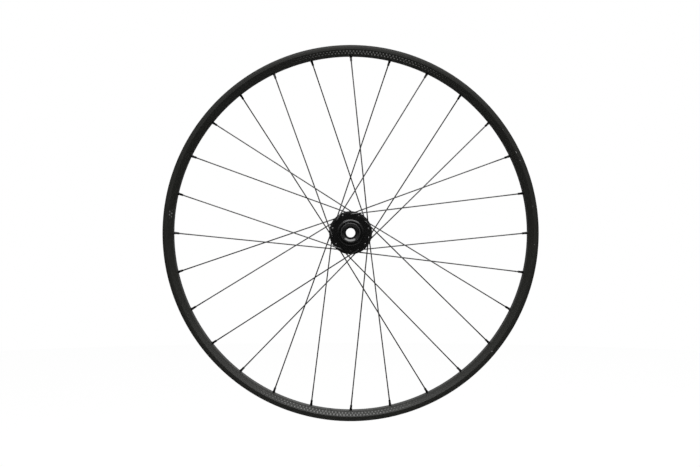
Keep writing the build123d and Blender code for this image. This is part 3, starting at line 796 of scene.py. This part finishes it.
def spoke(lacing):
    """The first spoke of a kind: its head, then wire drawn on along the lacing's line."""
    bm = spoke_head()
    bmesh.ops.transform(bm, matrix=aimed(lacing.head_seat, lacing.exit_way, lacing.out_way), verts=bm.verts)
    ring = [edge for edge in bm.edges if edge.is_boundary]
    wire = Drawing(bm, ring, lacing.head_seat + lacing.exit_way * HEAD_FILLET, lacing.exit_way)
    wire.straight(FLANGE_THICKNESS + ELBOW_STANDOFF - HEAD_FILLET)
    wire.bend(lacing.out_way, ELBOW_RADIUS, lacing.elbow_turn, ELBOW_STEPS)
    inner = (lacing.bend_start - lacing.elbow_end).length
    wire.straight(BUTT_LENGTH)
    wire.straight(BUTT_TAPER, THIN_WIRE_R / WIRE_R)
    wire.straight(inner - BUTT_LENGTH - BUTT_TAPER)
    wire.bend(lacing.bend_side, CROSSING_BEND_RADIUS, lacing.bend_turn, CROSSING_STEPS)
    outer = (lacing.seat - lacing.bend_end).length + SPOKE_TIP
    wire.straight(outer - THREAD_LENGTH - BUTT_TAPER)
    wire.straight(BUTT_TAPER, WIRE_R / THIN_WIRE_R)
    wire.straight(THREAD_LENGTH)
    bmesh.ops.edgeloop_fill(bm, edges=wire.ring)
    return bm


def spoke_finish():
    """A thin glossy black coating with slow changes of tone and a few specks of dust in it."""
    material, shader, place = new_finish(
        "spoke_black", Specular_IOR_Level=0.9, Coat_Weight=1.0, Coat_Roughness=0.12
    )
    clouds = place.grain(SPOKE_CLOUDS)
    specks = place.grain(SPOKE_SPECKS, detail=2.0).ramp(*SPOKE_SPECK_FADE)
    clouds.blend(SPOKE_BLACK, SPOKE_GREY).into(shader, "Base Color")
    dull = SPOKE_ROUGHNESS + clouds * SPOKE_CLOUD_DULL + specks * SPOKE_SPECK_DULL
    dull.into(shader, "Roughness")
    (clouds * SPOKE_CLOUD_RISE + specks).bump(SPOKE_BUMP, SPOKE_BUMP_DEPTH).into(shader, "Normal")
    return material


spoke_coat = spoke_finish()
for kind, lacing in enumerate(LACINGS):
    pattern = spoke(lacing)
    for index, turn in enumerate(every_turn(SPOKE_COUNT // KINDS)):
        number = f"{kind + KINDS * index + 1:02d}"
        copied = pattern.copy()
        bmesh.ops.transform(copied, matrix=turn, verts=copied.verts)
        finished(
            copied,
            f"spoke_wire_{number}",
            spoke_coat,
            "wheel",
            f"spoke_{number}",
            crease=SPOKE_CREASE_ANGLE,
        )
    pattern.free()

# Nipples
# Long threaded brass nuts, plated black, one on each spoke. The square end takes a spoke key from inside
# the wheel; the round shank goes through the rim, and the slotted head rests on the floor inside it.
NIPPLE_TIP = 10.2
NIPPLE_TOP = 1.8
# The shank's radius and the flats are 0.1 and 0.15 mm fuller than the solid's, for the same reason.
NIPPLE_R = 2.1
NIPPLE_FLATS = 3.45
NIPPLE_FLATS_LENGTH = 5.6
NIPPLE_HEAD_R = 3.0
NIPPLE_SEAT_LIFT = 0.2
NIPPLE_SEAT_CONE = 0.6
NIPPLE_HEAD_CONE = 0.6
NIPPLE_TIP_BREAK = 0.15
NIPPLE_SLOT_WIDTH = 1.0
NIPPLE_SLOT_DEPTH = 0.8
NIPPLE_BORE_R = 1.1
NIPPLE_STEPS = 32
CUTTER_OVERRUN = 0.5
NIPPLE_BLACK = (0.008, 0.008, 0.0085, 1.0)
NIPPLE_SOFT_BLACK = (0.016, 0.0158, 0.0155, 1.0)
NIPPLE_CLOUDS = 700.0
NIPPLE_SCUFFS = 3200.0
NIPPLE_SCUFF_FADE = (0.6, 0.8)
NIPPLE_CLOUD_SHARE = 0.6
NIPPLE_ROUGHNESS = 0.2
NIPPLE_CLOUD_DULL = 0.1
NIPPLE_SCUFF_DULL = 0.15
NIPPLE_CLOUD_RISE = 0.5
NIPPLE_BUMP = 0.12
NIPPLE_BUMP_DEPTH = 0.05 * MM


def block(bm, size, middle):
    """Adds a closed block."""
    place = Matrix.Translation(middle) @ Matrix.Diagonal((*size, 1))
    bmesh.ops.create_cube(bm, size=1, matrix=place)


def nipple():
    """One nipple along +Z, with its seat on the rim's floor at the origin."""
    tip_r = NIPPLE_FLATS / 2 - NIPPLE_TIP_BREAK
    blank = bmesh.new()
    outline = [
        (-NIPPLE_TIP, tip_r),
        (2 * NIPPLE_TIP_BREAK - NIPPLE_TIP, NIPPLE_R),
        (NIPPLE_SEAT_LIFT, NIPPLE_R),
        (NIPPLE_SEAT_LIFT + NIPPLE_SEAT_CONE, NIPPLE_HEAD_R),
        (NIPPLE_TOP - NIPPLE_HEAD_CONE, NIPPLE_HEAD_R),
        (NIPPLE_TOP, NIPPLE_R),
    ]
    lathe_solid(blank, outline, NIPPLE_STEPS, Matrix.Identity(4))
    drill = bmesh.new()
    bore = [(-2 * NIPPLE_TIP, NIPPLE_BORE_R), (2 * NIPPLE_TOP, NIPPLE_BORE_R)]
    lathe_solid(drill, bore, NIPPLE_STEPS, Matrix.Identity(4))
    blank = carved(blank, drill)
    cutter = bmesh.new()
    deep = NIPPLE_R
    wide = 2 * (NIPPLE_R + CUTTER_OVERRUN)
    tall = 2 * NIPPLE_FLATS_LENGTH
    for way in (-1, 1):
        offset = way * (NIPPLE_FLATS + deep) / 2
        block(cutter, (deep, wide, tall), Vector((offset, 0, -NIPPLE_TIP)))
        block(cutter, (wide, deep, tall), Vector((0, offset, -NIPPLE_TIP)))
    slot = (3 * NIPPLE_HEAD_R, NIPPLE_SLOT_WIDTH, 2 * NIPPLE_SLOT_DEPTH)
    block(cutter, slot, Vector((0, 0, NIPPLE_TOP)))
    return carved(blank, cutter)


def nipple_finish():
    """Dark plating with slow changes of tone and the fine scuffs of a spoke key."""
    material, shader, place = new_finish("nipple_black", Metallic=0.35, Coat_Weight=0.5, Coat_Roughness=0.1)
    clouds = place.grain(NIPPLE_CLOUDS)
    scuffs = place.grain(NIPPLE_SCUFFS, detail=2.5).ramp(*NIPPLE_SCUFF_FADE)
    tone = clouds * NIPPLE_CLOUD_SHARE + scuffs * (1 - NIPPLE_CLOUD_SHARE)
    tone.blend(NIPPLE_BLACK, NIPPLE_SOFT_BLACK).into(shader, "Base Color")
    dull = NIPPLE_ROUGHNESS + clouds * NIPPLE_CLOUD_DULL + scuffs * NIPPLE_SCUFF_DULL
    dull.into(shader, "Roughness")
    (clouds * NIPPLE_CLOUD_RISE + scuffs).bump(NIPPLE_BUMP, NIPPLE_BUMP_DEPTH).into(shader, "Normal")
    return material


one_nipple = bpy.data.meshes.new("one_nipple")
nipple_pattern = nipple()
nipple_pattern.to_mesh(one_nipple)
nipple_pattern.free()
nipple_set = bmesh.new()
for lacing, turn in EVERY_SPOKE:
    placed = one_nipple.copy()
    placed.transform(turn @ aimed(lacing.seat, lacing.last_way))
    nipple_set.from_mesh(placed)
    bpy.data.meshes.remove(placed)
bpy.data.meshes.remove(one_nipple)
finished(nipple_set, "nipple_set", nipple_finish(), "wheel", "nipples")

# Rim
# A hollow aluminium extrusion rolled into a hoop, welded, drilled and anodised satin black. The inner
# bed is drilled for the nipples and one valve, and the upright walls outside hold the tyre's beads.
SEAT_R = 292.0
TIP_R = 298.0
CREASE_R = 290.8
BED_R = 282.5
CHANNEL_R = 289.2
HALF_IN = 14.5
HALF_OUT = 17.2
HALF_BED = 9.0
HALF_CHANNEL = 6.0
CHANNEL_FLARE = 1.5
WALL_TIP_THICKNESS = 1.6
SLOPE_WALL = 1.1
TYRE_BED_WALL = 1.0
BEAD_SHELF_SLOPE = math.radians(5.0)
HALF_TIP = HALF_IN + WALL_TIP_THICKNESS
HALF_SHELF = HALF_CHANNEL + CHANNEL_FLARE
SHELF_R = SEAT_R - (HALF_IN - HALF_SHELF) * math.tan(BEAD_SHELF_SLOPE)
BED_ROUND = 3.0
CREASE_ROUND = 0.5
SLOPE_BULGE = 0.2
SLOPE_ROUND = 20.0
WALL_BULGE = 0.35
WALL_ROUND = 10.0
TIP_ROUND = 0.7
CHANNEL_ROUND = 0.8
NIPPLE_HOLE_R = 2.35
ACCESS_HOLE_R = 4.0
VALVE_HOLE_R = 3.25
VALVE_ANGLE = 186.43
DRILL_OVERRUN = 5.0
RIM_STEPS = 448
HOLLOW_CORNER_STEPS = 2
RIM_BLACK = (0.0126, 0.0128, 0.0104, 1.0)
RIM_SOFT_BLACK = (0.0192, 0.0195, 0.0162, 1.0)
RIM_CLOUDS = 34.0
RIM_BLAST = 2600.0
RIM_CLOUD_SHARE = 0.7
RIM_ROUGHNESS = 0.4
RIM_CLOUD_DULL = 0.1
RIM_BLAST_DULL = 0.08
RIM_BUMP = 0.1
RIM_BUMP_DEPTH = 0.05 * MM
RIM_WORN = (0.05, 0.05, 0.051, 1.0)
WEAR_PATCHES = 480.0
WEAR_PATCH_FADE = (0.42, 0.62)
WEAR_SHARE = 0.6
WEAR_SHINE = 0.1
CREASE_WEAR = 0.25
CREASE_WEAR_FADE = (0.1, 0.6)
TIP_WEAR_R = (TIP_R - 0.5, TIP_R - 0.1)
OUTER_FACE = (HALF_IN + 0.3, HALF_IN + 0.8)
NICKS = ((55.9, 0.3), (64.1, 0.9), (66.9, 0.35), (81.7, 0.3), (93.7, 0.25), (130.0, 0.9))
NICK_R = 0.6
NICK_CORE_R = 0.36
NICK_CIRCLE_R = CREASE_R + 0.8
PRINT_GREY = (0.16, 0.16, 0.155, 1.0)
PRINT_LOW_R = 284.0
PRINT_HIGH_R = 289.8
PRINT_ROWS = 2
PRINT_PITCH = 1.05
PRINT_BLOCK_WIDTH = 0.4
PRINT_BLOCK_HEIGHT = 0.9
PRINT_SHINE = 0.1
PRINT_GROUPS = ((6.5, 26.0), (184.5, 28.0), (276.0, 1.6))


def hoop_blank():
    """The hoop's outer form, with slightly crowned faces and the tyre's channel between its walls."""
    half = [
        (BED_R, HALF_BED, BED_ROUND),
        ((BED_R + CREASE_R) / 2 - SLOPE_BULGE, (HALF_BED + HALF_OUT) / 2 + SLOPE_BULGE, SLOPE_ROUND),
        (CREASE_R, HALF_OUT, CREASE_ROUND),
        ((CREASE_R + TIP_R) / 2, (HALF_OUT + HALF_TIP) / 2 + WALL_BULGE, WALL_ROUND),
        (TIP_R, HALF_TIP, TIP_ROUND),
        (TIP_R, HALF_IN, TIP_ROUND),
        (SEAT_R, HALF_IN, TIP_ROUND),
        (SHELF_R, HALF_SHELF, CHANNEL_ROUND),
        (CHANNEL_R, HALF_CHANNEL, CHANNEL_ROUND),
    ]
    return turned(both_halves(half), RIM_STEPS)


def slope_inside(radius):
    """How far from the middle the hollow's sloping side lies at a radius."""
    slope_r = CREASE_R - BED_R
    slope_y = HALF_OUT - HALF_BED
    slope = math.hypot(slope_r, slope_y)
    inside_r = BED_R + SLOPE_WALL * slope_y / slope
    inside_y = HALF_BED - SLOPE_WALL * slope_r / slope
    return inside_y + (radius - inside_r) * slope_y / slope_r


def hoop_hollow():
    """The closed space between the spoke bed and the tyre bed."""
    roof_r = SHELF_R - TYRE_BED_WALL
    step = TYRE_BED_WALL * math.tan(math.atan2(SHELF_R - CHANNEL_R, CHANNEL_FLARE) / 2)
    half = [
        (RIM_FLOOR_R, slope_inside(RIM_FLOOR_R), CHANNEL_ROUND),
        (roof_r, slope_inside(roof_r), CHANNEL_ROUND / 2),
        (roof_r, HALF_SHELF + step, CHANNEL_ROUND / 2),
        (CHANNEL_R - TYRE_BED_WALL, HALF_CHANNEL + step, CHANNEL_ROUND / 2),
    ]
    return turned(both_halves(half), RIM_STEPS, HOLLOW_CORNER_STEPS)


def rim_drills():
    """A hole for each nipple's shank, a wider one above it for its head, and the valve's hole."""
    drills = bmesh.new()
    half_hollow = (CHANNEL_R - TYRE_BED_WALL - RIM_FLOOR_R) / 2
    depth = TIP_R - BED_R
    nipple_hole = [(-DRILL_OVERRUN, NIPPLE_HOLE_R), (half_hollow, NIPPLE_HOLE_R)]
    access_hole = [(half_hollow, ACCESS_HOLE_R), (depth, ACCESS_HOLE_R)]
    for lacing, turn in EVERY_SPOKE:
        place = turn @ aimed(lacing.seat, lacing.last_way)
        lathe_solid(drills, nipple_hole, DRILL_STEPS, place)
        lathe_solid(drills, access_hole, DRILL_STEPS, place)
    valve_way = around(1.0, VALVE_ANGLE)
    valve_hole = [(-depth, VALVE_HOLE_R), (depth, VALVE_HOLE_R)]
    lathe_solid(drills, valve_hole, DRILL_STEPS, aimed(valve_way * BED_R, valve_way))
    return drills


def print_blocks(place, height, centre, half_span):
    """A mask of staggered rows of small blocks about an angle, lower towards both ends of their span."""
    row = height.maths("FLOOR")
    off_middle = (height - row - 0.5).maths("ABSOLUTE") * 2.0
    turn = math.radians(centre)
    x = place.part("X")
    z = place.part("Z")
    ahead = x * math.sin(turn) + z * math.cos(turn)
    across = x * math.cos(turn) - z * math.sin(turn)
    degrees = across.maths("ARCTAN2", ahead) * math.degrees(1.0)
    taper = 1.0 - degrees.maths("ABSOLUTE") / half_span
    along_row = (degrees / PRINT_PITCH + row * 0.5).maths("FRACT")
    in_block = along_row.maths("LESS_THAN", PRINT_BLOCK_WIDTH)
    return in_block * off_middle.maths("LESS_THAN", taper * PRINT_BLOCK_HEIGHT)


def rim_print(place, radius, aside):
    """A mask of all the printed blocks, on both slopes of the rim."""
    height = (radius - PRINT_LOW_R) / (PRINT_HIGH_R - PRINT_LOW_R) * PRINT_ROWS
    in_rows = height.maths("GREATER_THAN", 0.0) * height.maths("LESS_THAN", PRINT_ROWS)
    blocks = sum(print_blocks(place, height, centre, half_span) for centre, half_span in PRINT_GROUPS)
    return blocks * in_rows * aside.maths("GREATER_THAN", HALF_BED)


def rim_wear(place, radius, aside):
    """A mask of the patches along the crease and the tip where the black is rubbed thin."""
    crease = (radius - CREASE_R).maths("ABSOLUTE").ramp(*CREASE_WEAR_FADE, 1.0, 0.0)
    edges = crease * CREASE_WEAR + radius.ramp(*TIP_WEAR_R)
    return edges * aside.ramp(*OUTER_FACE) * place.grain(WEAR_PATCHES).ramp(*WEAR_PATCH_FADE)


def nicked(tone, place):
    """The tone with a small bright nick at each angle, just outside the crease of the right side."""
    for angle, grey in NICKS:
        middle = around(NICK_CIRCLE_R, angle, -HALF_OUT) * MM
        away = place.node("ShaderNodeVectorMath", {"operation": "DISTANCE"}, {0: place, 1: middle})
        nick = (away.output("Value") / MM).ramp(NICK_CORE_R, NICK_R, 1.0, 0.0)
        tone = nick.blend(tone, (grey, grey, grey, 1.0))
    return tone


def rim_finish():
    """Blasted and anodised black with slow changes of tone, worn edges, nicks and a grey print."""
    material, shader, place = new_finish("rim_satin_black", Specular_IOR_Level=0.42)
    radius, along = lathe_place(place)
    aside = along.maths("ABSOLUTE")
    blast = place.grain(RIM_BLAST)
    clouds = place.grain(RIM_CLOUDS)
    wear = rim_wear(place, radius, aside)
    ink = rim_print(place, radius, aside)
    tone = clouds * RIM_CLOUD_SHARE + blast * (1 - RIM_CLOUD_SHARE)
    worn = (wear * WEAR_SHARE).blend(tone.blend(RIM_BLACK, RIM_SOFT_BLACK), RIM_WORN)
    ink.blend(nicked(worn, place), PRINT_GREY).into(shader, "Base Color")
    dull = RIM_ROUGHNESS + clouds * RIM_CLOUD_DULL + blast * RIM_BLAST_DULL
    (dull - ink * PRINT_SHINE - wear * WEAR_SHINE).into(shader, "Roughness")
    blast.bump(RIM_BUMP, RIM_BUMP_DEPTH).into(shader, "Normal")
    return material


rim_mesh = carved(carved(hoop_blank(), hoop_hollow()), rim_drills())
finished(rim_mesh, "rim_hoop", rim_finish(), "wheel", "rim")

# Studio
# A pale floor below the wheel, a white surround, and large soft lights overhead, in front and behind.
# The camera looks nearly straight along the axle at the right side of the wheel.
CAMERA_DISTANCE = 1.85
CAMERA_LENS = 59.57
CAMERA_PITCH = math.radians(0.6)
SHIFT_X = -0.00086
SHIFT_Y = -0.0184
FLOOR_HEIGHT = -0.46
FLOOR_RADIUS = 3.0
FLOOR_SIDES = 96
FLOOR_WHITE = (0.86, 0.86, 0.86, 1.0)
WHITE = (1.0, 1.0, 1.0, 1.0)
FLOOR_GLOW = 1.045
FLOOR_GLOW_SHARE = 0.92
POOL_SHAPE = (0.4, 1.3, 0.0)
POOL_EDGE = (0.2, 0.7)
POOL_BRIGHTNESS = (0.24, 0.04)
SKY_RISE = (-0.1, 0.8)
SKY_BRIGHTNESS = (0.04, 0.4)
SKY_BEHIND = (0.2, 0.9)
SKY_BEHIND_GAIN = (1.0, 2.5)
SKY_LIGHT = 0.25

camera = bpy.data.objects.new("camera", bpy.data.cameras.new("camera"))
bpy.context.scene.collection.objects.link(camera)
camera.location = (0, -CAMERA_DISTANCE, 0)
camera.rotation_euler = (math.pi / 2 + CAMERA_PITCH, 0, 0)
camera.data.lens = CAMERA_LENS
camera.data.shift_x = SHIFT_X
camera.data.shift_y = SHIFT_Y
bpy.context.scene.camera = camera


def soft_light(name, place, width, depth, power):
    """A rectangular light that faces the hub."""
    light = bpy.data.objects.new(name, bpy.data.lights.new(name, "AREA"))
    light.data.shape = "RECTANGLE"
    light.data.size = width
    light.data.size_y = depth
    light.data.energy = power
    light.location = place
    light.rotation_euler = (-Vector(place)).to_track_quat("-Z", "Y").to_euler()
    bpy.context.scene.collection.objects.link(light)


def floor_finish():
    """White paper that shows the wheel's shadow, and only a dim pool of light in the wheel's gloss."""
    material = bpy.data.materials.new("floor_white")
    material.use_nodes = True
    paper = Shade(material.node_tree)
    rays = paper.node("ShaderNodeLightPath")
    place = paper.node("ShaderNodeTexCoord").output("Object")
    oval = paper.node("ShaderNodeVectorMath", {"operation": "MULTIPLY"}, {0: place, 1: POOL_SHAPE})
    away = paper.node("ShaderNodeVectorMath", {"operation": "LENGTH"}, {0: oval}).output("Value")
    pool = paper.node("ShaderNodeEmission", None, {"Color": away.ramp(*POOL_EDGE, *POOL_BRIGHTNESS)})
    lit = paper.node("ShaderNodeBsdfDiffuse", None, {"Color": FLOOR_WHITE})
    glow = paper.node("ShaderNodeEmission", None, {"Color": WHITE, "Strength": FLOOR_GLOW})
    in_gloss = rays.output("Is Glossy Ray")
    in_view = rays.output("Is Camera Ray") * FLOOR_GLOW_SHARE
    lit_or_pool = paper.node("ShaderNodeMixShader", None, {0: in_gloss, 1: lit, 2: pool})
    surface = paper.node("ShaderNodeMixShader", None, {0: in_view, 1: lit_or_pool, 2: glow})
    surface.into(material.node_tree.nodes["Material Output"], "Surface")
    return material


def white_surround():
    """A world that is white to the camera, brighter overhead and behind in gloss, and a soft light."""
    world = bpy.data.worlds.new("studio")
    world.use_nodes = True
    sky = Shade(world.node_tree)
    rays = sky.node("ShaderNodeLightPath")
    way = sky.node("ShaderNodeTexCoord").output("Generated")
    in_gloss = rays.output("Is Glossy Ray")
    in_view = rays.output("Is Camera Ray").maths("MAXIMUM", rays.output("Is Transmission Ray"))
    overhead = way.part("Z").ramp(*SKY_RISE, *SKY_BRIGHTNESS)
    behind = way.part("Y").ramp(*SKY_BEHIND, *SKY_BEHIND_GAIN)
    brightness = in_gloss * overhead * behind + (1.0 - in_gloss) * SKY_LIGHT
    surround = sky.node("ShaderNodeBackground", None, {"Color": in_view.maths("MAXIMUM", brightness)})
    surround.into(world.node_tree.nodes["World Output"], "Surface")
    return world


soft_light("overhead", place=(0.2, -0.7, 1.9), width=3.0, depth=1.2, power=40)
soft_light("front", place=(0, -2.4, 1.35), width=1.8, depth=0.5, power=6)
soft_light("behind", place=(0.6, 2.6, 1.5), width=1.6, depth=0.8, power=6)

floor_bm = bmesh.new()
bmesh.ops.create_circle(floor_bm, cap_ends=True, radius=FLOOR_RADIUS, segments=FLOOR_SIDES)
bmesh.ops.translate(floor_bm, verts=floor_bm.verts, vec=(0, 0, FLOOR_HEIGHT))
floor_mesh = bpy.data.meshes.new("floor")
floor_bm.to_mesh(floor_mesh)
floor_bm.free()
floor_mesh.materials.append(floor_finish())
floor = bpy.data.objects.new("floor", floor_mesh)
bpy.context.scene.collection.objects.link(floor)

bpy.context.scene.world = white_surround()
bpy.context.scene.view_settings.view_transform = "Standard"
